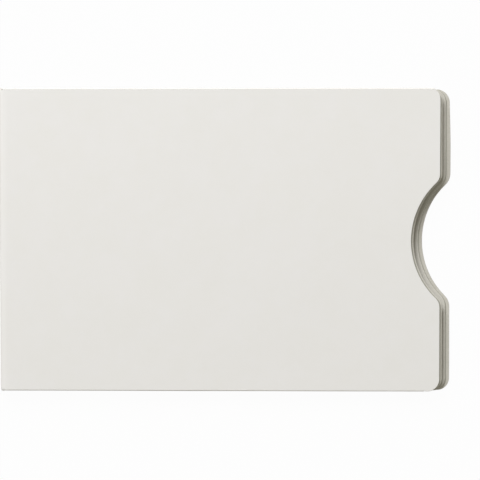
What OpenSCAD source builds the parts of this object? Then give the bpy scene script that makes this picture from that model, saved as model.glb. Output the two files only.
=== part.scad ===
// Card sleeve of folded paper with a foil lining, empty, lying on its back.
// The mouth with the thumb notch is at +X, the closed end at -X, and the front face looks up (+Z).
// The origin lies under the middle of the sleeve, on the surface that carries it. Sizes are in millimetres.

/* [Card] */
// Length of the card that the pocket takes
card_length = 85.6; // [75:0.1:100]
// Width of the card
card_width = 53.98; // [45:0.01:70]
// Thickness of the card
card_thickness = 0.76; // [0.5:0.01:1.5]

/* [Play round the card] */
// Room between the card and the front panel's mouth edge, with the card pushed home
length_play = 0.92; // [0:0.01:4]
// Room on each side of the card
side_play = 2.76; // [1:0.01:5]
// Room above the card; an empty sleeve stands a little open
height_play = 0.4; // [0.04:0.01:1]

/* [Sheets] */
// Outer paper
paper_thickness = 0.25; // [0.15:0.01:0.35]
// Aluminium foil with the adhesive that bonds it
foil_thickness = 0.05; // [0.02:0.01:0.1]
// Inner paper that the card slides on
liner_thickness = 0.18; // [0.1:0.01:0.24]
// Film of glue between a flap and the back panel
glue_thickness = 0.04; // [0.02:0.01:0.1]

/* [Folds] */
// Outer radius of the folds along the long edges
side_fold_radius = 0.4; // [0.36:0.01:0.6]
// Outer radius of the fold at the closed end
end_fold_radius = 0.6; // [0.56:0.01:0.9]
// Distance from the front panel's mouth edge to the end of the top fold
top_fold_stop = 1; // [0.6:0.1:5]
// Distance from the front panel's mouth edge to the end of the bottom fold
bottom_fold_stop = 3; // [0.6:0.1:5]
// Gap between a long edge of an inner sheet and the fold round it
edge_play = 0.03; // [0.01:0.01:0.1]

/* [Mouth] */
// How far the front of the foil stands past the front panel
front_foil_step = 0.29; // [0:0.01:0.6]
// How far the front of the liner stands past the front panel
front_liner_step = 0.5; // [0:0.01:1]
// How far the back of the liner stands past the front panel
back_liner_step = 1.15; // [0:0.01:2]
// How far the back of the foil stands past the front panel
back_foil_step = 1.33; // [0:0.01:2]
// How far the back panel stands past the front panel
back_panel_step = 2.05; // [0.5:0.01:4]
// Radius of the corners at the mouth
corner_radius = 2.3; // [1:0.1:5]

/* [Thumb notch] */
// Radius of the notch
notch_radius = 15.6; // [12:0.1:22]
// Depth of the notch in the front sheets, from their mouth edges
front_notch_depth = 5.7; // [3:0.1:9]
// Depth of the notch in the back sheets, from their mouth edges
back_notch_depth = 5.55; // [3:0.05:9]
// Radius that leads the mouth edge into the notch
notch_tip_radius = 2.9; // [1:0.1:4]

/* [Glue flaps] */
// Width of a flap, measured from the long edge
flap_width = 10; // [7:0.5:15]
// Length over which the ends of a flap taper
flap_taper = 5; // [1:0.5:8]
// Width of the line of glue under a flap
glue_width = 5; // [2:0.5:6]
// Distance from a fold's start to the line of glue
glue_inset = 1.8; // [0.5:0.1:3]

/* [Hidden] */
$fn = 96;

// Heights of the sheets, from the surface that the sleeve lies on
back_panel_bottom = paper_thickness + glue_thickness;
back_foil_bottom = back_panel_bottom + paper_thickness;
back_liner_bottom = back_foil_bottom + foil_thickness;
pocket_bottom = back_liner_bottom + liner_thickness;
pocket_top = pocket_bottom + card_thickness + height_play;
front_foil_bottom = pocket_top + liner_thickness;
front_panel_bottom = front_foil_bottom + foil_thickness;
sleeve_top = front_panel_bottom + paper_thickness;

// Lengths and widths of the whole sleeve
wall_thickness = paper_thickness + foil_thickness + liner_thickness;
front_length = wall_thickness + card_length + length_play;
sleeve_length = front_length + back_panel_step;
half_width = card_width / 2 + side_play + paper_thickness;
closed_x = -sleeve_length / 2;
mouth_x = closed_x + front_length;
end_fold_x = closed_x + end_fold_radius;
top_fold_end_x = mouth_x - top_fold_stop;
bottom_fold_end_x = mouth_x - bottom_fold_stop;

// Room that a side fold's inner curve leaves beside a sheet lying this far above its flat
inner_fold_radius = side_fold_radius - paper_thickness;
function room_in_fold(height) = height >= inner_fold_radius ? inner_fold_radius
    : sqrt(pow(inner_fold_radius, 2) - pow(inner_fold_radius - height, 2));
function sheet_half_width(height) =
    half_width - side_fold_radius + room_in_fold(height) - edge_play;

// Half widths of the flat sheets
front_panel_half_width = half_width - side_fold_radius;
back_panel_half_width = sheet_half_width(glue_thickness);
foil_half_width = sheet_half_width(0);
liner_half_width = sheet_half_width(foil_thickness);

paper_colour = "#e8e7e2";
foil_colour = "#a9aaa4";
liner_colour = "#c9c8bc";
glue_colour = "#d9d3bd";

// Flat outline of a sheet from x = start to its mouth edge, with that edge's two corners rounded.
module sheet_outline(start, mouth, half) {
    translate([start, -half])
        square([mouth - corner_radius - start, 2 * half]);
    translate([start, corner_radius - half])
        square([mouth - start, 2 * (half - corner_radius)]);
    for (side = [-1, 1])
        translate([mouth - corner_radius, side * (half - corner_radius)])
            circle(corner_radius);
}

// What the thumb notch takes out of a sheet: a round bite whose two tips are rounded off,
// each by a circle that touches both the bite and the mouth edge.
module thumb_notch(mouth, depth) {
    centre_x = mouth - depth + notch_radius;
    tip_x = mouth - notch_tip_radius;
    tip_y = sqrt(pow(notch_radius + notch_tip_radius, 2) - pow(centre_x - tip_x, 2));
    difference() {
        union() {
            translate([centre_x, 0])
                circle(notch_radius);
            for (side = [-1, 1])
                polygon([[centre_x, 0], [tip_x, side * tip_y], [centre_x, side * tip_y]]);
        }
        for (side = [-1, 1])
            translate([tip_x, side * tip_y])
                circle(notch_tip_radius);
    }
}

// Flat part of a sheet that lies inside the folds.
module inner_sheet(start, step, notch_depth, half, bottom, thickness) {
    translate([0, 0, bottom])
        linear_extrude(height = thickness)
            difference() {
                sheet_outline(start, mouth_x + step, half);
                thumb_notch(mouth_x + step, notch_depth);
            }
}

// Slot that is round towards x = 0 and flat at x = reach.
module rounded_slot(height, radius, reach) {
    translate([0, radius])
        square([reach, height - 2 * radius]);
    translate([radius, 0])
        square([reach - radius, height]);
    for (y = [radius, height - radius])
        translate([radius, y])
            circle(radius);
}

// Section of a sheet folded back on itself, with its outside against x = 0 and its ends at x = radius.
module fold_section(height, radius, thickness) {
    reach = 3 * radius;
    intersection() {
        square([radius, height]);
        difference() {
            rounded_slot(height, radius, reach);
            translate([thickness, thickness])
                rounded_slot(height - 2 * thickness, radius - thickness, reach);
        }
    }
}

// Fold of one sheet round the closed end, from one height to another.
module end_bend(depth, thickness, bottom, top, half) {
    translate([closed_x + depth, 0, bottom])
        rotate([90, 0, 0])
            linear_extrude(height = 2 * half, center = true)
                fold_section(top - bottom, end_fold_radius - depth, thickness);
}

// Sheet that lines the pocket: front, fold round the closed end, back.
module lining_sheet(depth, thickness, front_step, back_step, back_bottom, front_bottom, half) {
    inner_sheet(end_fold_x, front_step, front_notch_depth, half, front_bottom, thickness);
    end_bend(depth, thickness, back_bottom, front_bottom + thickness, half);
    inner_sheet(end_fold_x, back_step, back_notch_depth, half, back_bottom, thickness);
}

// Fold along the bottom long edge, from the front panel round to the flap, up to x = fold_end.
module side_fold(fold_end) {
    translate([end_fold_x, -half_width, 0])
        rotate([90, 0, 90])
            linear_extrude(height = fold_end - end_fold_x)
                fold_section(sleeve_top, side_fold_radius, paper_thickness);
}

// Flap along the bottom long edge, with tapered ends, flat under the back panel.
module glue_flap(fold_end) {
    fold_y = side_fold_radius - half_width;
    free_y = flap_width - half_width;
    linear_extrude(height = paper_thickness)
        polygon([
            [end_fold_x, fold_y],
            [fold_end, fold_y],
            [fold_end - flap_taper, free_y],
            [end_fold_x + flap_taper, free_y]
        ]);
}

// Line of glue between the bottom flap and the back panel, clear of the flap's tapered ends.
module glue_line(fold_end) {
    translate([end_fold_x + flap_taper, side_fold_radius + glue_inset - half_width, paper_thickness])
        cube([fold_end - end_fold_x - 2 * flap_taper, glue_width, glue_thickness]);
}

// The panel is as wide as its creases are apart, and past the end of each side fold as wide as the sleeve.
module front_panel() {
    color(paper_colour)
        translate([0, 0, front_panel_bottom])
            linear_extrude(height = paper_thickness)
                difference() {
                    intersection() {
                        sheet_outline(end_fold_x, mouth_x, half_width);
                        union() {
                            translate([end_fold_x, -front_panel_half_width])
                                square([front_length, 2 * front_panel_half_width]);
                            translate([top_fold_end_x, 0])
                                square([front_length, half_width]);
                            translate([bottom_fold_end_x, -half_width])
                                square([front_length, half_width]);
                        }
                    }
                    thumb_notch(mouth_x, front_notch_depth);
                }
}

module back_panel() {
    color(paper_colour)
        inner_sheet(end_fold_x, back_panel_step, back_notch_depth,
            back_panel_half_width, back_panel_bottom, paper_thickness);
}

module end_fold() {
    color(paper_colour)
        end_bend(0, paper_thickness, back_panel_bottom, sleeve_top, half_width);
}

module top_fold() {
    color(paper_colour)
        mirror([0, 1, 0])
            side_fold(top_fold_end_x);
}

module bottom_fold() {
    color(paper_colour)
        side_fold(bottom_fold_end_x);
}

module top_glue_flap() {
    color(paper_colour)
        mirror([0, 1, 0])
            glue_flap(top_fold_end_x);
}

module bottom_glue_flap() {
    color(paper_colour)
        glue_flap(bottom_fold_end_x);
}

module foil_shield() {
    color(foil_colour)
        lining_sheet(paper_thickness, foil_thickness, front_foil_step, back_foil_step,
            back_foil_bottom, front_foil_bottom, foil_half_width);
}

module inner_liner() {
    color(liner_colour)
        lining_sheet(paper_thickness + foil_thickness, liner_thickness, front_liner_step, back_liner_step,
            back_liner_bottom, pocket_top, liner_half_width);
}

module top_glue_line() {
    color(glue_colour)
        mirror([0, 1, 0])
            glue_line(top_fold_end_x);
}

module bottom_glue_line() {
    color(glue_colour)
        glue_line(bottom_fold_end_x);
}

front_panel();
back_panel();
end_fold();
top_fold();
bottom_fold();
top_glue_flap();
bottom_glue_flap();
foil_shield();
inner_liner();
top_glue_line();
bottom_glue_line();
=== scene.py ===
# %% [markdown]
# # A folded paper sleeve for one card
#
# The real sleeve is cut from one flat sheet of smooth paper. It is folded over at the closed end and along
# both long sides, and two flaps are glued down on its back. A sheet of aluminium foil and a thin lining
# paper lie inside it, folded round the same closed end. The mouth has a round notch for the thumb, and
# there the edges of all the sheets show as a narrow band of steps.
#
# The CAD part gives every piece its size and place. This notebook gives each sheet its true surface: rolled
# folds, cut edges with worn shoulders, and paper, foil and glue that look like what they are.

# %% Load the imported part
from collections import namedtuple

import bpy
import numpy as np
from mathutils import Matrix, Vector


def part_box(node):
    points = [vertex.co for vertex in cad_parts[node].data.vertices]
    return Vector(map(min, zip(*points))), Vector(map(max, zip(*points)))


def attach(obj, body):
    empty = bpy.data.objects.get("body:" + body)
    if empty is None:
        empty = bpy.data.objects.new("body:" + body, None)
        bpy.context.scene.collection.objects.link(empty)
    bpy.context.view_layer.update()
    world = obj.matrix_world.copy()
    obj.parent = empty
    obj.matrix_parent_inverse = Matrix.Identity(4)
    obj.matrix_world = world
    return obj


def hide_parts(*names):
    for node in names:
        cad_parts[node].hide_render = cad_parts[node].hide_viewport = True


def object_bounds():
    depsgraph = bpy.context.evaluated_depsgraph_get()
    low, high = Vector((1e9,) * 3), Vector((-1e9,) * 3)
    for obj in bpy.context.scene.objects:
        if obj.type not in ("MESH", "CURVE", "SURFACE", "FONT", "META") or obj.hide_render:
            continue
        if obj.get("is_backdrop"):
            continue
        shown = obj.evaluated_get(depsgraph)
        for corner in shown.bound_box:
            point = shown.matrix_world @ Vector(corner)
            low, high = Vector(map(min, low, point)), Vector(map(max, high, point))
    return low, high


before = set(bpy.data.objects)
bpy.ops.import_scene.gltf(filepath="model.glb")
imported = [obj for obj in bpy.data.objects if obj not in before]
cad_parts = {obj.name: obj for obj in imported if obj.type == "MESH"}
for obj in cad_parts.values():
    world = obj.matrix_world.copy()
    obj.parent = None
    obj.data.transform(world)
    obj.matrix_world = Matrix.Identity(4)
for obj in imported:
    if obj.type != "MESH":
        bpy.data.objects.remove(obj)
cad_box = [list(corner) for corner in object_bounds()]
print("CAD nodes:", ", ".join(sorted(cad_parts)))
print("CAD box in mm:", [[round(1000 * value, 2) for value in corner] for corner in cad_box])

# %% [markdown]
# ## Sizes
#
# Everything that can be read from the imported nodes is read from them, so the sheets stay where the CAD has
# them. Only what a node's box can't tell is written here, such as the radius of the notch. The scene's unit
# is the metre, and `mm` turns a size in millimetres into metres.

# %% Sizes of the sleeve
mm = 0.001

panel_low, panel_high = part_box("front_panel")
back_low, back_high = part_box("back_panel")
end_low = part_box("end_fold")[0]
top_low, top_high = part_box("top_fold")
bottom_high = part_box("bottom_fold")[1]
foil_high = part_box("foil_shield")[1]
liner_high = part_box("inner_liner")[1]

paper = panel_high.z - panel_low.z          # thickness of the outer paper
foil = panel_low.z - liner_high.z           # thickness of the foil, which lies between the two papers
lining = 0.18 * mm                          # thickness of the lining paper
closed_x, mouth_x = end_low.x, panel_high.x
end_crease, side_crease = panel_low.x, top_low.y
half_width = top_high.y                     # from the middle to the outermost line of a side fold
face_z, back_z = panel_high.z, back_low.z   # outer surfaces of the front and back panels
print(f"paper {paper / mm:.2f}, foil {foil / mm:.2f}, lining {lining / mm:.2f} mm; "
      f"face {(mouth_x - closed_x) / mm:.1f} x {2 * half_width / mm:.1f} mm")

# %% [markdown]
# ## How a sheet rolls over at a fold
#
# Creased paper doesn't turn a sharp corner. It lies flat, begins to dip, and then rolls over in a fraction
# of a millimetre. A quarter of a circle would start its turn abruptly, and the light would show a hard line
# there. A superellipse starts gently and ends tightly, as a pressed fold does, and one formula gives it.

# %% The roll of a fold
squareness = 3.0                            # 2 is an ellipse, more is a tighter corner
side_roll = 0.25 * mm                       # how far from its outermost line a side fold begins to dip
end_roll = 2.2 * mm                         # the same at the closed end, where three sheets fold together
side_drop, end_drop = face_z / 2, (face_z - back_z) / 2
end_centre = (face_z + back_z) / 2
samples = 4001                              # fine points along which a curve or a density is summed up


def unit(vectors):
    """Vectors made one unit long."""
    return vectors / np.linalg.norm(vectors, axis=-1, keepdims=True)


def dip(distance, reach, drop):
    """How far a surface has dipped at a distance from the fold's outermost line:
    (1 - distance / reach) ^ s + (1 - dip / drop) ^ s = 1, and nothing beyond the reach."""
    near = np.clip(1 - distance / reach, 0, 1)
    return drop * (1 - (1 - near ** squareness) ** (1 / squareness))


def fold_section(start, reach, drop, count, depth=0):
    """Points (out, up) on a fold's section from its top crease to its bottom one, on the curve
    out = reach * cos(a) ^ (2 / s), up = drop * sin(a) ^ (2 / s). `start` is out at both creases, and where
    it is below zero a flat part leads to the curve. A sheet inside the fold lies `depth` further in, along
    the curve's normal. Half of the points are shared out by length and half by how much the curve turns."""
    first = np.arccos((max(start, 0) / reach) ** (squareness / 2))
    angle = np.linspace(first, -first, samples)
    curve = np.stack([reach * np.cos(angle) ** (2 / squareness),
                      drop * np.sign(angle) * np.abs(np.sin(angle)) ** (2 / squareness)], axis=1)
    flat = np.stack([np.linspace(min(start, 0), 0, 400), np.full(400, drop)], axis=1)
    flat = flat[:-1 if start < 0 else 0]
    points = np.concatenate([flat, curve, flat[::-1] * (1, -1)])
    tangent = unit(np.gradient(points, axis=0))
    points = points - depth * np.stack([-tangent[:, 1], tangent[:, 0]], axis=1)
    step = np.linalg.norm(np.diff(points, axis=0), axis=1)
    turn = np.linalg.norm(np.diff(tangent, axis=0), axis=1)
    way = np.concatenate([[0], np.cumsum(step / step.sum() + turn / turn.sum())])
    even = np.linspace(0, way[-1], count)
    return np.stack([np.interp(even, way, points[:, 0]), np.interp(even, way, points[:, 1])], axis=1)


print(f"the face dips by {dip(half_width - side_crease, side_roll, side_drop) / mm:.3f} mm at a side crease "
      f"and by {dip(end_crease - closed_x, end_roll, end_drop) / mm:.3f} mm at the end crease")

# %% [markdown]
# ## The cut edge at the mouth
#
# A steel knife cuts each sheet's outline: a straight edge, a round corner at each long side and a round
# notch whose two tips are softened. It can be written as x over y, because the outline never turns back on
# itself. The sheets aren't perfectly square to each other, so each mouth keeps its own half widths and
# corner radii.

# %% The outline of a sheet at the mouth
# x of the edge; depth, radius and tip radius of the notch; half widths and corner radii at -Y and at +Y
Mouth = namedtuple("Mouth", "edge depth notch tip halves radii")
notch_y = -0.1 * mm                         # the notch is punched this far off the middle

front_mouth = Mouth(edge=mouth_x, depth=5.65 * mm, notch=15.7 * mm, tip=2.6 * mm,
                    halves=(29.93 * mm, half_width), radii=(2.4 * mm, 2.2 * mm))
back_mouth = Mouth(edge=back_high.x - 0.05 * mm, depth=5.44 * mm, notch=15.5 * mm, tip=3.2 * mm,
                   halves=(29.82 * mm, 29.7 * mm), radii=(2.4 * mm, 2.6 * mm))
front_foil_mouth = front_mouth._replace(edge=mouth_x + 0.25 * mm, halves=back_mouth.halves)
front_liner_mouth = front_foil_mouth._replace(edge=mouth_x + 0.5 * mm)
back_liner_mouth = back_mouth._replace(edge=liner_high.x)
back_foil_mouth = back_mouth._replace(edge=foil_high.x)


def notch_of(mouth):
    """x of the notch circle's centre, and x and y of the centre of the small circle that softens a tip. The
    small circle touches the mouth edge and the notch circle, so their centres are both radii apart."""
    centre, tip = mouth.edge - mouth.depth + mouth.notch, mouth.edge - mouth.tip
    return centre, tip, np.sqrt((mouth.notch + mouth.tip) ** 2 - (centre - tip) ** 2)


def on_side(y, pair):
    """The first of a pair of values where y is below zero, and the second elsewhere."""
    return np.where(y < 0, pair[0], pair[1])


def mouth_line(y, mouth):
    """x of the cut edge at each y. It is `edge` along the straight parts. Over a corner of radius r it is
    edge - r + sqrt(r^2 - past^2), where past is the way past the corner's centre. In the notch it is a
    circle of the notch's radius, and each tip is a small circle."""
    centre, tip, tip_y = notch_of(mouth)
    touch_y = tip_y * mouth.notch / (mouth.notch + mouth.tip)
    off = np.abs(y - notch_y)
    x = tip + np.sqrt(mouth.tip ** 2 - np.clip(tip_y - off, 0, mouth.tip) ** 2)
    x = np.where(off < touch_y, centre - np.sqrt(mouth.notch ** 2 - np.minimum(off, touch_y) ** 2), x)
    radius = on_side(y, mouth.radii)
    past = np.clip(np.abs(y) - on_side(y, mouth.halves) + radius, 0, radius)
    return x - radius + np.sqrt(radius ** 2 - past ** 2)


def edge_distance(x, y, mouth):
    """Distance of a point from the nearest cut edge: the mouth, a long side, a corner's circle, the notch's
    circle or a tip's circle. A point counts for a tip if it lies between the tip's two touching points."""
    radius = on_side(y, mouth.radii)
    to_mouth, to_side = mouth.edge - x, on_side(y, mouth.halves) - np.abs(y)
    in_corner = (to_mouth < radius) & (to_side < radius)
    to_corner = radius - np.hypot(radius - to_mouth, radius - to_side)
    outer = np.where(in_corner, to_corner, np.minimum(to_mouth, to_side))
    centre, tip, tip_y = notch_of(mouth)
    notch = np.hypot(x - centre, y - notch_y) - mouth.notch
    along, across = x - tip, np.abs(y - notch_y) - tip_y
    in_tip = (across < 0) & ((centre - tip) * across + tip_y * along > 0)
    return np.where(in_tip, mouth.tip - np.hypot(along, across), np.minimum(outer, notch))


print(f"the notch is {2 * notch_of(front_mouth)[2] / mm:.1f} mm wide between its tips")

# %% [markdown]
# ## Rows and columns where they are needed
#
# A sheet is a grid. Its rows run from the closed end to the mouth, so their ends trace the cut edge, and
# they are spaced evenly along that edge: a corner then gets as many rows as it needs to look round. The
# columns crowd together where the sheet bends and at the cut edge, and are far apart where it is flat.

# %% Spacing the grid
edge_reach = 0.16 * mm                      # columns crowd this near a cut edge
edge_step = 0.016 * mm                      # and stand this close there
row_samples = 120001                        # fine points across a sheet, as `samples` along it
row_step = 0.3 * mm                         # the outer paper's rows stand this far apart at the mouth


def ramp(value, start, width):
    """Smooth step: 3 t^2 - 2 t^3, where t runs from 0 at start to 1 at start + width."""
    t = np.clip((value - start) / width, 0, 1)
    return t * t * (3 - 2 * t)


def stations(mouth, low, high, spacing):
    """Values of y from low to high, such that the cut edge's points lie `spacing` apart along it, and three
    times closer within 2.5 mm of a long side."""
    y = np.linspace(low, high, row_samples)
    close = 1 + 2 * (np.minimum(y - low, high - y) < 2.5 * mm)
    step = np.hypot(np.diff(y), np.diff(mouth_line(y, mouth))) * close[1:] / spacing
    way = np.concatenate([[0], np.cumsum(step)])
    return np.interp(np.linspace(0, way[-1], int(way[-1]) + 1), way, y)


def crowd(starts, ends, places, count, coarse=1.8 * mm):
    """`count` positions from a start to an end, for each row. Their density is 1 / coarse, plus for each
    place (centre, width, spacing) a bell of that width whose peak is 1 / spacing."""
    starts, ends = np.reshape(starts, (-1, 1)), np.reshape(ends, (-1, 1))
    share = 0.5 - 0.5 * np.cos(np.pi * np.linspace(0, 1, samples))
    x = starts + (ends - starts) * share
    bells = sum(np.exp(-((x - centre) / width) ** 2) / spacing for centre, width, spacing in places)
    density = 1 / coarse + bells
    step = np.diff(x, axis=1) * (density[:, 1:] + density[:, :-1]) / 2
    way = np.concatenate([np.zeros((len(x), 1)), np.cumsum(step, axis=1)], axis=1)
    return np.array([np.interp(np.linspace(0, w[-1], count), w, row) for w, row in zip(way, x)])


front_y = stations(front_mouth, -front_mouth.halves[0], side_crease, row_step)
print(len(front_y), "rows across the front panel")

# %% [markdown]
# ## From a surface to a sheet
#
# A sheet has the same thickness wherever no tight fold crushes it, so only its outer surface is worked out.
# The inner surface lies one thickness further in, along the surface's own normal, and a wall closes the gap
# all round. A knife leaves the cut edge slightly rounded: near it, both surfaces ease towards the middle of
# the sheet along a quarter of a circle.
#
# Two attributes steer the paper's colour. `bend` says how sharply the sheet turns: it is the curvature,
# which is the change of the normal over a step, times a radius that counts as a hard crease; the paper
# puts cracked coating there, and painted shade on the creases too. `side_shade` says how far the sheet's
# surface looks sideways: it is the cube of 1 less the upright part of the normal; the paper paints shade
# with it on the walls of the folds, which the lamp would light brighter than the face.

# %% Normals, walls and the mesh
crease_radius = 0.15 * mm                   # a sheet bent as tightly as this counts as hard creased
paper_shoulder = 0.07 * mm                  # radius of the outer paper's shoulders at a cut edge
crush = 0.9                                 # greatest thickness of a sheet over its bending radius
round_share = 0.45                          # most of the thickness that one shoulder may take
cut_share = 0.6                             # part of a shoulder that is coloured as the cut edge
sharp_angle = np.radians(40)                # edges that turn by more than this are shaded as sharp


def grid_normals(outer):
    """Unit normals of a surface: the cross product of its two directions along the grid."""
    return unit(np.cross(np.gradient(outer, axis=0), np.gradient(outer, axis=1)))


def lying(x, y, height, up=1):
    """Points of a sheet that lies at height(x, y), and its outward normals: (-dh/dx, -dh/dy, 1) made one
    unit long, and turned over with up = -1, where the outside looks down."""
    reach = 0.01 * mm
    slope_x = (height(x + reach, y) - height(x - reach, y)) / (2 * reach)
    slope_y = (height(x, y + reach) - height(x, y - reach)) / (2 * reach)
    normal = unit(np.stack([-slope_x, -slope_y, np.ones_like(x)], axis=-1))
    return np.stack([x, y, height(x, y)], axis=-1), up * normal


def ease(distance, radius):
    """How far a cut edge's shoulder falls back at a distance from the edge:
    r - sqrt(r^2 - (r - distance)^2)."""
    inside = radius - np.clip(distance, 0, radius)
    return radius - np.sqrt(radius ** 2 - inside ** 2)


def curvature(outer, normal):
    """Change of the normal per length, along the grid's two directions, whichever is larger. A step counts
    as 1e-9 m at least, so nothing is divided by zero."""
    turns = [np.linalg.norm(np.gradient(normal, axis=axis), axis=-1)
             / np.maximum(np.linalg.norm(np.gradient(outer, axis=axis), axis=-1), 1e-9) for axis in (0, 1)]
    return np.maximum(*turns)


def sheet_mesh(name, outer, normal, thickness, to_edge, shoulder):
    """A closed sheet from a grid of points on its outer surface and their normals, which point out of the
    sheet. `to_edge` is each point's distance from the cut edge. Material 0 is the outside, 1 the inside, 2
    the cut edge. A tight fold crushes the sheet: it is never thicker than `crush` times the radius that it
    is bent to."""
    rows, columns = outer.shape[:2]
    turning = curvature(outer, normal)
    thickness = np.minimum(thickness, crush / np.maximum(turning, 1))
    back_off = np.minimum(ease(to_edge, shoulder), round_share * thickness)[..., None] * normal
    inner = outer - thickness[..., None] * normal
    points = np.concatenate([(outer - back_off).reshape(-1, 3), (inner + back_off).reshape(-1, 3)])
    index = np.arange(rows * columns).reshape(rows, columns)
    face = np.stack([index[:-1, :-1], index[1:, :-1], index[1:, 1:], index[:-1, 1:]], axis=-1)
    face = face.reshape(-1, 4)
    rim = np.concatenate([index[0, :-1], index[:-1, -1], index[-1, :0:-1], index[:0:-1, 0]])
    after = np.roll(rim, -1)
    wall = np.stack([rim, after, after + rows * columns, rim + rows * columns], axis=-1)
    quads = np.concatenate([face, face[:, ::-1] + rows * columns, wall])
    cut = (to_edge.ravel()[face] < cut_share * shoulder).sum(axis=1) > 2
    material = np.concatenate([np.where(cut, 2, 0), np.where(cut, 2, 1), np.full(len(wall), 2)])

    mesh = bpy.data.meshes.new(name)
    mesh.vertices.add(len(points))
    mesh.vertices.foreach_set("co", points.ravel())
    mesh.loops.add(quads.size)
    mesh.loops.foreach_set("vertex_index", quads.ravel())
    mesh.polygons.add(len(quads))
    mesh.polygons.foreach_set("loop_start", np.arange(0, quads.size, 4))
    mesh.polygons.foreach_set("material_index", material)
    mesh.polygons.foreach_set("use_smooth", np.ones(len(quads), dtype=bool))
    mesh.update(calc_edges=True)
    mesh.set_sharp_from_angle(angle=sharp_angle)
    # Both attributes feed the paper's colour: bend gives crease specks with painted shade, the other gives
    # painted shade on surfaces that look sideways.
    for label, value in (("bend", turning * crease_radius), ("side_shade", (1 - np.abs(normal[..., 2])) ** 3)):
        attribute = mesh.attributes.new(label, "FLOAT", "POINT")
        attribute.data.foreach_set("value", np.tile(np.clip(value, 0, 1).ravel(), 2))
    if mesh.validate():
        raise ValueError(name + " has faulty faces")
    return mesh


def points_of(mesh):
    """The mesh's vertices, one row each."""
    points = np.empty(len(mesh.vertices) * 3)
    mesh.vertices.foreach_get("co", points)
    return points.reshape(-1, 3)


def volume_of(mesh):
    """Volume that the mesh encloses: the sum of a . (b x c) / 6 over its triangles. It is above zero only
    if the faces point outwards."""
    mesh.calc_loop_triangles()
    corner = np.empty(len(mesh.loop_triangles) * 3, dtype=np.int32)
    mesh.loop_triangles.foreach_get("vertices", corner)
    a, b, c = points_of(mesh)[corner].reshape(-1, 3, 3).transpose(1, 0, 2)
    return float(np.einsum("ij,ij->i", a, np.cross(b, c)).sum() / 6)


def place(mesh, node_name, finishes):
    """Puts a finished mesh into the scene as the piece that stands for a CAD node, and says how far the
    corners of its box lie outside the node's."""
    piece = bpy.data.objects.new(mesh.name, mesh)
    bpy.context.scene.collection.objects.link(piece)
    for finish in finishes:
        mesh.materials.append(finish)
    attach(piece, "root")
    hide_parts(node_name)
    volume = volume_of(mesh)
    if volume <= 0:
        raise ValueError(mesh.name + " is inside out")
    points = points_of(mesh)
    low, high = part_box(node_name)
    print(f"{mesh.name}: {len(mesh.polygons)} faces, {volume / mm ** 3:.1f} mm3, low corner off by",
          np.round((points.min(axis=0) - np.array(low)) / mm, 3), "high by",
          np.round((points.max(axis=0) - np.array(high)) / mm, 3))
    return piece


# %% [markdown]
# ## Colours and nodes
#
# Colours are written as sRGB hex values, as a colour picker shows them, and one function turns them into
# the linear values that the renderer works with. A second small function adds a shader node with its
# settings and links. Two more do what each material needs: mix two colours, and finish the material.

# %% Helpers for materials
def linear(hex_colour):
    """An sRGB hex colour as linear RGBA: ((c + 0.055) / 1.055) ^ 2.4, and c / 12.92 near black."""
    srgb = np.array([int(hex_colour[i:i + 2], 16) / 255 for i in (1, 3, 5)])
    rgb = np.where(srgb <= 0.04045, srgb / 12.92, ((srgb + 0.055) / 1.055) ** 2.4)
    return (*rgb.tolist(), 1.0)


def node(owner, kind, inputs=None, **options):
    """Adds a node of a kind to a material or world. `inputs` gives its input sockets, by name or number, a
    value or the output socket that they are linked to."""
    tree = owner.node_tree
    added = tree.nodes.new("ShaderNode" + kind)
    for option, value in options.items():
        setattr(added, option, value)
    for socket, value in (inputs or {}).items():
        if isinstance(value, bpy.types.NodeSocket):
            tree.links.new(value, added.inputs[socket])
        else:
            added.inputs[socket].default_value = value
    return added


def new_material(name):
    """An empty node material, and the point on the object that its patterns read, in metres."""
    material = bpy.data.materials.new(name)
    material.use_nodes = True
    material.node_tree.nodes.clear()
    return material, node(material, "TexCoord").outputs["Object"]


def blend(owner, share, first, second):
    """A colour that is the first where the share is 0, and the second where it is 1."""
    return node(owner, "Mix", {0: share, 6: first, 7: second}, data_type="RGBA").outputs[2]


def surface(material, colour, relief, **settings):
    """Finishes a material with a colour, a relief's normal, and settings such as its roughness."""
    inputs = {"Base Color": colour, "Normal": relief.outputs["Normal"], **settings}
    shader = node(material, "BsdfPrincipled", inputs)
    node(material, "OutputMaterial", {"Surface": shader.outputs[0]})
    return material
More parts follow.
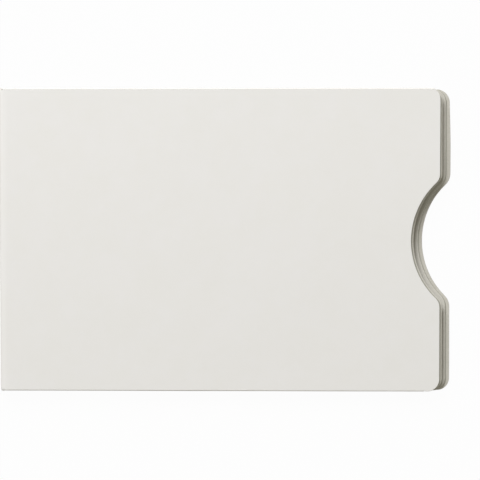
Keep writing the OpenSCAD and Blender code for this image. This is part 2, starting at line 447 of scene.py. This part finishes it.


# %% [markdown]
# ## The outer paper: smooth, matt coated
#
# The sleeve's paper is a woodfree sheet with a thin matt coating, rolled smooth. What the eye gets is an
# even warm white with almost no gloss. Close up, the fibres under the coating leave a fine relief, about
# 0.3 mm across, and the sheet is a little cloudy where they lie closer together, some millimetres across.
# Where the sheet is creased, the coating cracks into fine specks, and painted shade darkens them further on
# the rims of the folds. The narrow walls between the creases look sideways, and painted shade darkens them,
# since the lamp would light them brighter than the face. The relief is a bump, because it is far too small
# for geometry.

# %% Outer paper
def coated_paper():
    """Two close tones, clouded; painted shade where `side_shade` says, and cracked specks with painted
    shade where `bend` says.
    """
    material, point = new_material("woodfree_paper_matt_coated")
    cloud = node(material, "TexNoise", {"Vector": point, "Scale": 1 / (5 * mm), "Detail": 3.0,
                                        "Roughness": 0.6})
    fibre = node(material, "TexNoise", {"Vector": point, "Scale": 1 / (0.3 * mm), "Detail": 4.0,
                                        "Roughness": 0.65})
    crack = node(material, "TexNoise", {"Vector": point, "Scale": 1 / (0.12 * mm), "Detail": 2.0})
    dense = node(material, "MapRange", {"Value": cloud.outputs["Fac"], "From Min": 0.35, "From Max": 0.65})
    tone = blend(material, dense.outputs[0], linear("#e9e7e2"), linear("#eae8e4"))
    # Painted shade: the more a surface looks sideways, the nearer its colour is to #cecbc4.
    side_shade_share = node(material, "Attribute", attribute_name="side_shade")
    side_shade_share = node(material, "Math", {0: side_shade_share.outputs["Fac"], 1: 0.9}, operation="MULTIPLY")
    tone = blend(material, side_shade_share.outputs[0], tone, linear("#cecbc4"))
    # Cracked coating at the creases, blended towards #c8c5ba. It is darker than the cracks alone, as painted
    # shade on the fold rims.
    creased = node(material, "Attribute", attribute_name="bend")
    speck = node(material, "MapRange", {"Value": crack.outputs["Fac"], "From Min": 0.45, "From Max": 0.7})
    speck_share = node(material, "MapRange", {"Value": speck.outputs[0], "To Min": 0.4, "To Max": 1.0})
    crease_specks_and_shade = node(material, "Math", {0: speck_share.outputs[0], 1: creased.outputs["Fac"]}, operation="MULTIPLY")
    tone = blend(material, crease_specks_and_shade.outputs[0], tone, linear("#c8c5ba"))
    relief = node(material, "Bump", {"Height": fibre.outputs["Fac"], "Strength": 0.35,
                                     "Distance": 0.012 * mm})
    relief = node(material, "Bump", {"Height": crease_specks_and_shade.outputs[0], "Normal": relief.outputs["Normal"],
                                     "Strength": 0.5, "Distance": 0.02 * mm})
    return surface(material, tone, relief, Roughness=0.9, IOR=1.45)


paper_face = coated_paper()

# %% [markdown]
# ## The paper's inner side, the lining and the cut edges
#
# The inner side of the sheet has no coating, and neither has the lining paper. Both are a little darker and
# yellower than the face, and their fibres stand up more. A cut edge shows the felted layers of fibre in the
# paper's core, so there the same noise is squeezed flat along the sheet's thickness.

# %% Bare paper
def bare_paper(name, light, dark, grain, relief, squeeze=1):
    """Uncoated paper: two tones mixed by fibres that are `grain` apart, with a relief of a given height."""
    material, point = new_material(name)
    spot = node(material, "Mapping", {"Vector": point, "Scale": (1, 1, squeeze)})
    fibre = node(material, "TexNoise", {"Vector": spot.outputs["Vector"], "Scale": 1 / grain, "Detail": 5.0,
                                        "Roughness": 0.7})
    share = node(material, "MapRange", {"Value": fibre.outputs["Fac"], "From Min": 0.3, "From Max": 0.7})
    tone = blend(material, share.outputs[0], linear(dark), linear(light))
    bump = node(material, "Bump", {"Height": fibre.outputs["Fac"], "Strength": 0.5, "Distance": relief})
    return surface(material, tone, bump, Roughness=0.85, IOR=1.45)


paper_inside = bare_paper("woodfree_paper_uncoated_side", "#cecbc1", "#c3bfb3", 0.4 * mm, 0.02 * mm)
paper_edge = bare_paper("woodfree_paper_knife_cut", "#d5d3ca", "#b8b5ab", 0.35 * mm, 0.03 * mm, 6)
liner_face = bare_paper("lining_paper_machine_glazed", "#d1cec5", "#c6c2b6", 0.35 * mm, 0.015 * mm)
liner_edge = bare_paper("lining_paper_knife_cut", "#cac8bd", "#adaa9e", 0.3 * mm, 0.02 * mm, 6)
paper_finishes = [paper_face, paper_inside, paper_edge]

# %% [markdown]
# ## The foil
#
# The shield is thin aluminium, rolled in two layers at once, so it is dull on the side that was inside. Its
# grey is darker than that dull side alone: partly its own finish, partly painted shade, so that its thin
# rims at the mouth stay dark where the room's white would show in them. The shader counts only a third of it
# as bare metal, so it mirrors little. Rolling leaves fine lines along the length of the sleeve, and folding
# leaves soft dents a few millimetres across.

# %% Rolled foil
def rolled_foil():
    """Two greys mixed by the rolling lines, with a relief of lines and dents."""
    material, point = new_material("aluminium_foil_rolled_dull_side")
    drawn_out = (1 / (6 * mm), 1 / (0.12 * mm), 1 / (0.12 * mm))
    drawn = node(material, "Mapping", {"Vector": point, "Scale": drawn_out})
    lines = node(material, "TexNoise", {"Vector": drawn.outputs["Vector"], "Scale": 1.0, "Detail": 3.0})
    dents = node(material, "TexNoise", {"Vector": point, "Scale": 1 / (3 * mm), "Detail": 2.0})
    # Partly painted shade: both greys are darker than the dull foil itself, so its rims read dark at the
    # mouth.
    tone = blend(material, lines.outputs["Fac"], linear("#9a988c"), linear("#a9a79b"))
    bump = node(material, "Bump", {"Height": lines.outputs["Fac"], "Strength": 0.3, "Distance": 0.004 * mm})
    bump = node(material, "Bump", {"Height": dents.outputs["Fac"], "Normal": bump.outputs["Normal"],
                                   "Strength": 0.4, "Distance": 0.1 * mm})
    return surface(material, tone, bump, Metallic=0.3, Roughness=0.5)


foil_face = rolled_foil()

# %% [markdown]
# ## The glue
#
# Water-based paper glue dries to a thin, slightly yellow film with a soft shine. It lies between flap and
# back panel, so all that shows is its rim.

# %% Dried glue
def dried_glue():
    """Two yellowish tones mixed by a soft noise, 1.2 mm across, which is the film's relief too."""
    material, point = new_material("dispersion_glue_dried")
    pull = node(material, "TexNoise", {"Vector": point, "Scale": 1 / (1.2 * mm), "Detail": 2.0})
    tone = blend(material, pull.outputs["Fac"], linear("#cfc7ab"), linear("#ddd6c0"))
    bump = node(material, "Bump", {"Height": pull.outputs["Fac"], "Strength": 0.4, "Distance": 0.02 * mm})
    return surface(material, tone, bump, Roughness=0.35, IOR=1.48)


glue_film = dried_glue()

# %% [markdown]
# ## Waves and wander
#
# No sheet of paper is quite flat, and no stack of sheets is quite in line. Long, shallow waves about a
# hundredth of a millimetre high keep the face from looking like glass, and the cut edges wander by a little
# less. Both are sums of sines with seeded random phases, so each run gives the same sheet. The foil and the
# lining are bonded to the paper, so they share its waves.

# %% Seeded unevenness
wave_height = 0.01 * mm                     # height of the long waves in the panels
mouth_rise = 0.06 * mm                      # how far the front rises in the middle of the mouth
back_sag = 0.25 * mm                        # how far the back sags onto the table between the flaps
fold_swell = 0.012 * mm                     # how far a fold's outside swells and sinks along its length


def waves(x, y, height, seed, longest=45 * mm, shortest=12 * mm, count=7):
    """Sum of plane waves sin(2 pi (x cos d + y sin d) / length + phase), the shorter the lower, up to about
    +-height. Directions and phases are drawn once from the seed."""
    draw = np.random.default_rng(seed)
    total = 0
    for length in np.geomspace(longest, shortest, count):
        direction, phase = draw.uniform(0, np.pi), draw.uniform(0, 2 * np.pi)
        along = x * np.cos(direction) + y * np.sin(direction)
        total = total + length / longest * np.sin(2 * np.pi * along / length + phase)
    return height * total / 2


def wander(y, seed, height=0.006 * mm):
    """How far a cut edge strays at y: the same sum along one line, from 20 mm long waves down to 0.6 mm."""
    return waves(y, y, height, seed, 20 * mm, 0.6 * mm, 12)


def front_wave(x, y):
    """Waves of the sheets in front, none where the folds hold the sheets. The middle of the mouth stands
    open a little, so the sheets rise towards it."""
    calm = ramp(half_width - np.abs(y), 0.6 * mm, 8 * mm) * ramp(x - closed_x, end_roll, 8 * mm)
    rise = ramp(half_width - np.abs(y), 2 * mm, 24 * mm) * ramp(x, -10 * mm, mouth_x + 10 * mm)
    return (waves(x, y, wave_height, 3) - wave_height) * calm + mouth_rise * rise


def back_wave(x, y):
    """The sheets at the back sag onto the table between the flaps, the more the nearer they are to the
    mouth."""
    sag = ramp(19.5 * mm - np.abs(y), 0, 11 * mm) * ramp(x - closed_x, end_roll, 60 * mm)
    return (waves(x, y, wave_height, 4) - back_sag) * sag


print(f"waves of the front reach {np.abs(waves(front_y, 0, wave_height, 3)).max() / mm:.3f} mm")

# %% [markdown]
# ## The front panel
#
# The panel's outer surface is flat, less the dips of the two side folds and the end fold, plus its waves.
# Past the end of the bottom fold nothing is folded over, so there the panel is wider: its last rows are
# tucked in by 0.33 mm only where the fold holds them.

# %% Front panel
askew = 0.06 * mm                           # how far the knife stood askew at the +Y side of the front
panel_crowd = (end_crease, 1.4 * mm, 0.13 * mm)    # columns crowd where a panel dips at the closed end


def tucked(x, y, mouth, inside, width):
    """y of the rows where side folds hold the sheet: in the last 3 mm before a long side they lie further
    in, from the mouth's half width to `inside`. A smooth step of the given width along x, at the fold's
    end, lets them out."""
    for sign, half, held, fold_end in ((-1, mouth.halves[0], inside[0], bottom_high.x),
                                       (1, mouth.halves[1], inside[1], top_high.x)):
        near_side = ramp(sign * y, half - 3 * mm, 3 * mm)
        y = y - sign * (half - held) * near_side * (1 - ramp(x, fold_end, width))
    return y


def front_tucked(x, y):
    """The same for the front panel, which both side folds hold at the side creases."""
    mouth = front_mouth._replace(halves=(front_mouth.halves[0], side_crease))
    return tucked(x, y, mouth, (side_crease, side_crease), 0.15 * mm)


def face_height(x, y):
    """Height of the front panel's outer surface: face_z, less the dips of the side folds and of the end
    fold, plus the waves. Past the end of the bottom fold that side is free and doesn't dip."""
    side = dip(np.maximum(half_width - np.abs(y), half_width - side_crease), side_roll, side_drop)
    free = np.where(y < 0, ramp(x, bottom_high.x, 0.4 * mm), 0)
    return face_z - side * (1 - free) - dip(x - closed_x, end_roll, end_drop) + front_wave(x, y)


def edge_crowd(edge, slope):
    """The place of closest columns at a cut edge. Where the edge runs along the rows it is wider and
    coarser, by sqrt(1 + slope^2) and by 4 at most."""
    stretch = np.minimum(np.sqrt(1 + slope ** 2), 4).reshape(-1, 1)
    return np.reshape(edge, (-1, 1)), edge_reach * stretch, edge_step * stretch


def front_panel_sheet():
    """Grid at face_height(x, y). Where a side fold holds the sheet, only the mouth counts as a cut edge. On
    the +Y half the cut edge strays outwards, up to `askew`. Beside the end of the bottom fold, where the
    panel widens, the columns crowd in the outer rows alone."""
    stray = wander(front_y, 11) + askew * ramp(front_y, 0, 26 * mm)
    edge = mouth_line(front_y, front_mouth) + stray
    beside_fold = np.where(front_y < -25 * mm, 0.05 * mm, 9 * mm).reshape(-1, 1)
    x = crowd(np.full_like(edge, end_crease), edge,
              [panel_crowd, (bottom_high.x + 0.08 * mm, 0.25 * mm, beside_fold),
               edge_crowd(edge, np.gradient(edge, front_y))], 92)[:, ::-1]
    row = front_y.reshape(-1, 1)
    y = front_tucked(x, row)
    stray = stray.reshape(-1, 1)
    to_edge = edge_distance(x - stray, row, front_mouth)
    folded = np.where(row < 0, x < bottom_high.x + 0.04 * mm, x < top_high.x)
    inner_row = np.clip(row, -20 * mm, 20 * mm)    # so far from the long sides that the mouth is nearer
    to_mouth = edge_distance(x - stray, inner_row, front_mouth)
    mesh = sheet_mesh("front_panel_paper", *lying(x, y, face_height), paper,
                      np.where(folded, to_mouth, to_edge), paper_shoulder)
    return place(mesh, "front_panel", paper_finishes)


front_panel_sheet()

# %% [markdown]
# ## The fold at the closed end
#
# The same sheet goes round the closed end to the back. Its ends stand free of the side folds, with a hair
# of a gap between them, and they bow out a little.

# %% End fold
slit = 0.06 * mm                            # gap between the end fold and a side fold
end_bow = 0.08 * mm                         # how far the two ends of the end fold bow out


def end_fold_sheet():
    """The fold's section carried along y: x = closed_x + reach - out, z = centre + up, less the dip of the
    side folds, which fades from the upper crease to the lower one."""
    inner_rows = front_tucked(np.full_like(front_y, end_crease), front_y)
    outer_rows = crowd(side_crease, half_width, [(half_width, edge_reach, edge_step)], 18, 0.1 * mm)[0, 1:]
    y = np.concatenate([-outer_rows[::-1], inner_rows, outer_rows]).reshape(-1, 1)
    out, up = fold_section(end_roll - (end_crease - closed_x), end_roll, end_drop, 40).T
    height = up / up[0]
    free = 1 - height ** 4
    at_end = ramp(np.abs(y), side_crease - 0.3 * mm, 0.7 * mm)
    bow = end_bow * at_end + waves(y, y, fold_swell, 21, 20 * mm, 3 * mm)
    x = closed_x + end_roll - out + free * bow
    side = dip(np.maximum(half_width - np.abs(y), 0.12 * mm), side_roll, side_drop)
    z = end_centre + up - side * np.clip(height, 0, 1)
    to_edge = np.broadcast_to(half_width - np.abs(y), x.shape)
    outer = np.stack(np.broadcast_arrays(x, y, z), axis=-1)
    mesh = sheet_mesh("end_fold_paper", outer, grid_normals(outer), paper, to_edge, paper_shoulder)
    return place(mesh, "end_fold", paper_finishes)


end_fold_sheet()

# %% [markdown]
# ## The side folds
#
# Along each long side the sheet rolls round the edges of the pocket. At the closed end its upper half
# follows the dip of the panel, so the two stay joined along the crease. Both ends of a side fold are cut.

# %% Side folds
def side_fold_sheet(name, node_name, side, fold_end, seed):
    """Fold along the +Y side (side = 1) or the -Y side (side = -1), up to x = fold_end: the fold's section
    carried along x, plus a swell outwards, less the dip of the end fold, which fades downwards."""
    start = end_crease + slit
    x = crowd(start, fold_end, [(start, 1.4 * mm, 0.14 * mm), (start, 0.16 * mm, 0.02 * mm),
                                (fold_end, edge_reach, edge_step)], 84)[:, ::-side]
    section = fold_section(side_crease - half_width + side_roll, side_roll, side_drop, 48)
    out, up = section[:, :1], section[:, 1:]
    height = up / up[0, 0]
    swell = waves(x, up, fold_swell, seed, 30 * mm, 4 * mm) * (1 - height ** 4)
    y = side * (half_width - side_roll + out + swell)
    z = side_drop + up - dip(x - closed_x, end_roll, end_drop) * np.clip(height, 0, 1)
    to_edge = np.broadcast_to(np.minimum(fold_end - x, x - start), z.shape)
    outer = np.stack(np.broadcast_arrays(x, y, z), axis=-1)
    mesh = sheet_mesh(name, outer, grid_normals(outer), paper, to_edge, paper_shoulder)
    return place(mesh, node_name, paper_finishes)


side_fold_sheet("top_fold_paper", "top_fold", side=1, fold_end=top_high.x, seed=31)
side_fold_sheet("bottom_fold_paper", "bottom_fold", side=-1, fold_end=bottom_high.x, seed=32)

# %% [markdown]
# ## The glue flaps
#
# Each side fold ends in a flap that lies flat under the back panel. Its two ends taper, so that the flaps
# never show beside the pocket, and its free corners are rounded off.

# %% Glue flaps
flap_taper = 5 * mm                         # how much shorter each end of a flap is at its free edge
flap_corner = 1 * mm                        # radius of its free corners


def flap_sheet(name, node_name, side, fold_end):
    """Flap on the +Y side (side = 1) or the -Y side (side = -1). Each row is a line along x at one distance
    from the flap's free edge. Its ends stand back by flap_taper * (1 - distance / width), and at the free
    corners by a quarter of a circle."""
    low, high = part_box(node_name)
    free = min(abs(low.y), abs(high.y))
    width = side_crease - free
    away = crowd(0, width, [(0, edge_reach, edge_step), (width, 0.5 * mm, 0.07 * mm)], 46)[0]
    inset = flap_taper * (1 - away / width) + ease(away, flap_corner)
    left, right = end_crease + slit + inset, fold_end - inset
    at_ends = [(end.reshape(-1, 1), 0.2 * mm, 0.02 * mm) for end in (left, right)]
    x = crowd(left, right, at_ends, 84)
    away = away.reshape(-1, 1)
    slant = width / np.hypot(width, flap_taper)
    to_edge = np.minimum(away + 0 * x, slant * np.minimum(x - x[:, :1], x[:, -1:] - x))
    z = dip(half_width - free - away, side_roll, side_drop)
    outer = np.stack(np.broadcast_arrays(x, side * (free + away), z), axis=-1)[::side]
    mesh = sheet_mesh(name, outer, grid_normals(outer), paper, to_edge[::side], paper_shoulder)
    return place(mesh, node_name, paper_finishes)


flap_sheet("top_flap_paper", "top_glue_flap", side=1, fold_end=top_high.x)
flap_sheet("bottom_flap_paper", "bottom_glue_flap", side=-1, fold_end=bottom_high.x)

# %% [markdown]
# ## The back panel
#
# The back panel is the far end of the same sheet. It lies on the flaps, and its mouth edge stands 2 mm
# further out than the front's, so that a thumb finds it. Use has pulled it out a little more beside the +Y
# tip of the notch.

# %% Back panel
def back_height(x, y):
    """Height of the back panel's outer surface, which looks down: back_z, raised by as much as the end fold
    dips in front, plus the waves."""
    return back_z + dip(x - closed_x, end_roll, end_drop) + back_wave(x, y)


def back_panel_sheet():
    """Grid at back_height(x, y), with its outside looking down. The bulge is what use has pulled out:
    0.14 mm beside the notch. Towards the corner it turns into 0.06 mm less."""
    row = stations(back_mouth, -back_mouth.halves[0], back_mouth.halves[1], row_step).reshape(-1, 1)
    bulge = ramp(row, 8 * mm, 6 * mm) * (0.2 * mm * ramp(29 * mm - row, 0, 11 * mm) - 0.06 * mm)
    stray = wander(row, 12) + bulge
    edge = mouth_line(row, back_mouth) + stray
    x = crowd(np.full_like(edge, end_crease), edge,
              [panel_crowd, (top_high.x, 1.6 * mm, 0.3 * mm),
               edge_crowd(edge, np.gradient(edge[:, 0], row[:, 0]))], 88)
    y = tucked(x, row, back_mouth, (side_crease, side_crease), 0.5 * mm)
    mesh = sheet_mesh("back_panel_paper", *lying(x, y, back_height, -1), paper,
                      edge_distance(x - stray, row, back_mouth), paper_shoulder)
    return place(mesh, "back_panel", paper_finishes)


back_panel_sheet()

# %% [markdown]
# ## The foil and the lining
#
# Each of the two is one sheet that starts at the front mouth, goes round the closed end and comes back to
# the rear mouth. Its surface is the outer paper's, moved inwards along the normal by what lies between. The
# four mouth edges end at different places, which gives the band of thin lines at the mouth.
#
# At the mouth the knife has dragged the bonded pair down a little. So the pair stands off from the front
# panel there, and on the back panel it rises just inside its edge. This turns the rims of the foil
# outwards: they catch the light where they face the lamp, and are dark elsewhere.

# %% Foil and lining
leg_columns, bend_columns = 62, 38          # columns of each flat leg, and of the bend between the legs
front_droop, droop_reach = 0.28 * mm, 0.6 * mm    # droop of the pair's front edge, and how far in it fades
back_lift, lift_reach = 0.11 * mm, 0.5 * mm       # its greatest lift at the back, and how far in that is
lip_start, lip_run = 20 * mm, 15 * mm       # droop and lift begin at this x and grow along this length


def front_lip(x, y):
    """How far foil and lining droop at the front mouth: front_droop * exp(-distance / droop_reach)."""
    distance = edge_distance(x, y, front_liner_mouth)
    return front_droop * np.exp(-distance / droop_reach) * ramp(x, lip_start, lip_run)


def back_lip(x, y):
    """How far they stand up inside the rear mouth: back_lift * t * exp(1 - t), where t is
    distance / lift_reach."""
    t = np.maximum(edge_distance(x, y, back_foil_mouth) / lift_reach, 0)
    return back_lift * t * np.exp(1 - t) * ramp(x, lip_start, lip_run)


def lining_sheet(name, node_name, thickness, depth, front, back, inside, seed, shoulder, finishes):
    """Sheet round the pocket, `depth` inside the outer paper's surface. `inside` is its half width where
    the side folds hold it, in front and at the back."""
    row = stations(front, -front.halves[0], front.halves[1], 0.4 * mm).reshape(-1, 1)
    bend_x = closed_x + end_roll
    out, up = fold_section(0, end_roll, end_drop, bend_columns + 2, depth)[1:-1].T
    legs = []
    for mouth, number in ((front, seed), (back, seed + 1)):
        stray = wander(row, number)
        edge = mouth_line(row, mouth) + stray
        slope = np.gradient(edge[:, 0], row[:, 0])
        x = crowd(np.full_like(edge, bend_x), edge,
                  [(top_high.x, 1.6 * mm, 0.4 * mm), edge_crowd(edge, slope)], leg_columns)
        legs.append((x, edge_distance(x - stray, row, mouth)))
    (front_x, front_edge), (back_x, back_edge) = legs
    bend = np.broadcast_to(bend_x - out, (len(row), bend_columns))
    x = np.concatenate([front_x[:, ::-1], bend, back_x], axis=1)
    to_side = np.broadcast_to(on_side(row, front.halves) - np.abs(row), bend.shape)
    to_edge = np.concatenate([front_edge[:, ::-1], to_side, back_edge], axis=1)
    held = np.concatenate([np.full(leg_columns, inside[0]), np.linspace(*inside, bend_columns),
                           np.full(leg_columns, inside[1])])
    y = tucked(x, row, front, (held, held), 0.5 * mm)
    y_front, y_bend, y_back = np.split(y, [leg_columns, leg_columns + bend_columns], axis=1)
    middle = np.stack(np.broadcast_arrays(bend, y_bend, end_centre + up), axis=-1)
    parts = [lying(front_x[:, ::-1], y_front,
                   lambda x, y: face_z - depth + front_wave(x, y) - front_lip(x, y)),
             (middle, grid_normals(middle)),
             lying(back_x, y_back, lambda x, y: back_z + depth + back_wave(x, y) + back_lip(x, y), -1)]
    outer, normal = (np.concatenate(part, axis=1) for part in zip(*parts))
    return place(sheet_mesh(name, outer, normal, thickness, to_edge, shoulder), node_name, finishes)


lining_sheet("foil_sheet", "foil_shield", thickness=foil, depth=paper,
             front=front_foil_mouth, back=back_foil_mouth, inside=(29.53 * mm, 29.57 * mm), seed=13,
             shoulder=0.015 * mm, finishes=[foil_face, foil_face, foil_face])
lining_sheet("lining_paper_sheet", "inner_liner", thickness=lining, depth=paper + foil,
             front=front_liner_mouth, back=back_liner_mouth, inside=(29.6 * mm, 29.68 * mm), seed=15,
             shoulder=0.05 * mm, finishes=[liner_face, liner_face, liner_edge])

# %% [markdown]
# ## The lines of glue
#
# A nozzle lays a bead of glue along each flap, and pressing spreads it into a flat film with round ends and
# slightly wavy sides.

# %% Glue
glue_sway = 0.25 * mm                       # how far the sides of a film sway


def glue_bead(name, node_name, seed):
    """Flat film in the node's box. v runs from 0 to 1 across it. Each end is half a circle: it stands back
    by width / 2 * (1 - sqrt(1 - (2 v - 1)^2)). The sides sway to and fro."""
    low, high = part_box(node_name)
    width = high.y - low.y
    v = np.linspace(0, 1, 25).reshape(-1, 1)
    inset = width / 2 * (1 - np.sqrt(1 - (2 * v - 1) ** 2))
    x = high.x - inset - (high.x - low.x - 2 * inset) * np.linspace(0, 1, 110)
    sway = waves(x, 0, glue_sway, seed, 25 * mm, 4 * mm)
    y = (low.y + high.y) / 2 + (v - 0.5) * (width - 2 * glue_sway) + sway * (2 * v - 1)
    outer = np.stack(np.broadcast_arrays(x, y, high.z), axis=-1)
    no_edge = np.full(x.shape, 1.0)
    mesh = sheet_mesh(name, outer, grid_normals(outer), high.z - low.z, no_edge, 0.01 * mm)
    return place(mesh, node_name, [glue_film, glue_film, glue_film])


glue_bead("top_glue_film", "top_glue_line", seed=41)
glue_bead("bottom_glue_film", "bottom_glue_line", seed=42)

# %% [markdown]
# ## Table and surroundings
#
# The sleeve lies on a plain pale table in a white room. What the camera sees of both, directly or as a
# reflection, is plain white of strength 1. For all other rays the table is a matt pale board and the room a
# soft, even light. A small share of the lit board stays in what the camera sees, so the sleeve keeps a
# faint shadow.
#
# The room's light has bounced off walls and paper, so it is a little warm. The lamp's is a little cool, by
# as much as makes their sum on the face neutral. So shaded edges come out warmer than lit ones.

# %% Table and room
room_light = 0.32                           # strength of the room's even light
room_tint = (1.03, 1.0, 0.87, 1)
lamp_tint = (0.985, 1.0, 1.06)
seen_white = 0.97                           # share of plain white in what is seen of the table
table_gap = 0.02 * mm                       # the table lies this far under the sleeve
table_reach = 2.0                           # and goes on this many metres to each side


def seen_directly(owner):
    """1 for camera, glossy and transmission rays, and 0 for the others."""
    path = node(owner, "LightPath")
    seen = path.outputs["Is Camera Ray"]
    for kind in ("Is Glossy Ray", "Is Transmission Ray"):
        seen = node(owner, "Math", {0: seen, 1: path.outputs[kind]}, operation="MAXIMUM").outputs[0]
    return seen


def pale_table():
    """A wide square just under the sleeve: the lit board, mixed with white where it is seen directly."""
    material, point = new_material("matt_pale_board")
    share = node(material, "Math", {0: seen_directly(material), 1: seen_white}, operation="MULTIPLY")
    grain = node(material, "TexNoise", {"Vector": point, "Scale": 1 / (20 * mm)})
    tone = blend(material, grain.outputs["Fac"], linear("#c6c6c5"), linear("#c9c9c8"))
    board = node(material, "BsdfDiffuse", {"Color": tone})
    white = node(material, "Emission", {"Color": (1, 1, 1, 1), "Strength": 1.0})
    mixed = node(material, "MixShader", {0: share.outputs[0], 1: board.outputs[0], 2: white.outputs[0]})
    node(material, "OutputMaterial", {"Surface": mixed.outputs[0]})
    mesh = bpy.data.meshes.new("table")
    signs = ((-1, -1), (1, -1), (1, 1), (-1, 1))
    corners = [(x * table_reach, y * table_reach, -table_gap) for x, y in signs]
    mesh.from_pydata(corners, [], [(0, 1, 2, 3)])
    mesh.materials.append(material)
    table = bpy.data.objects.new("table", mesh)
    bpy.context.scene.collection.objects.link(table)
    table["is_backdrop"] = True


def white_room():
    """White where it is seen directly, and the tinted even light for all other rays."""
    world = bpy.data.worlds.new("white_room")
    world.use_nodes = True
    world.node_tree.nodes.clear()
    soft = node(world, "Background", {"Color": room_tint, "Strength": room_light})
    white = node(world, "Background", {"Color": (1, 1, 1, 1), "Strength": 1.0})
    mixed = node(world, "MixShader", {0: seen_directly(world), 1: soft.outputs[0], 2: white.outputs[0]})
    node(world, "OutputWorld", {"Surface": mixed.outputs[0]})
    bpy.context.scene.world = world


pale_table()
white_room()

# %% [markdown]
# ## Lamp
#
# One large soft lamp stands beyond the upper long side, above and to the left. It throws the thin shadows
# that make the steps at the mouth readable. Together with the room it lights the face at about strength 1,
# so that a colour comes out as written. The hundredth above 1 was measured: it makes the face as bright as
# in the photo. A lamp of P watts at a distance d gives a matt white face that is turned to it a brightness
# of P / (pi^2 d^2).

# %% Lamp
face_light = 1.01                           # brightness of a white face under lamp and room together


def soft_lamp(name, direction, distance, size, brightness):
    """Square area lamp that shines on the sleeve's middle from a direction. Its power for a brightness b on
    the face is b * pi^2 * distance^2 / (height part of the direction)."""
    towards = Vector(direction).normalized()
    lamp = bpy.data.lights.new(name, "AREA")
    lamp.size = size
    lamp.color = lamp_tint
    lamp.energy = brightness * np.pi ** 2 * distance ** 2 / towards.z
    holder = bpy.data.objects.new(name, lamp)
    holder.location = towards * distance
    holder.rotation_euler = towards.to_track_quat("Z", "Y").to_euler()
    holder.visible_camera = False
    bpy.context.scene.collection.objects.link(holder)
    print(f"{name}: {lamp.energy:.2f} W")


soft_lamp("key_lamp", direction=(-0.28, 0.86, 0.6), distance=1.1, size=0.6,
          brightness=face_light - room_light)

# %% [markdown]
# ## Camera
#
# The photograph is taken from almost straight above with a long lens. The camera's place was worked out
# from the outline's corners: 0.53 m up, a little beyond the upper long side, and turned by a twentieth of a
# degree.

# %% Camera
def photo_camera(eye, aim, lens, roll):
    """Camera at `eye` that looks at `aim`, with +Y up in the picture, turned by `roll` round its axis."""
    forward = (aim - eye).normalized()
    right = forward.cross(Vector((0, 1, 0))).normalized()
    right = Matrix.Rotation(roll, 3, -forward) @ right
    axes = Matrix((right, right.cross(forward), -forward)).transposed()
    camera = bpy.data.cameras.new("photo_camera")
    camera.lens = lens
    holder = bpy.data.objects.new("photo_camera", camera)
    holder.matrix_world = Matrix.Translation(eye) @ axes.to_4x4()
    bpy.context.scene.collection.objects.link(holder)
    bpy.context.scene.camera = holder


photo_camera(eye=Vector((18.85, 31.17, 527.81)) * mm, aim=Vector((3.09, 0.04, 2.41)) * mm, lens=200,
             roll=np.radians(-0.056))
bpy.context.scene.view_settings.view_transform = "Standard"

# %% [markdown]
# ## Sizes and the end
#
# The visual model has to fill the same box as the CAD part.

# %% Finish
visual_box = [list(corner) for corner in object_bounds()]
grown = (np.array(visual_box) - np.array(cad_box)) / mm
print("visual box less CAD box in mm:", np.round(grown, 3).tolist())
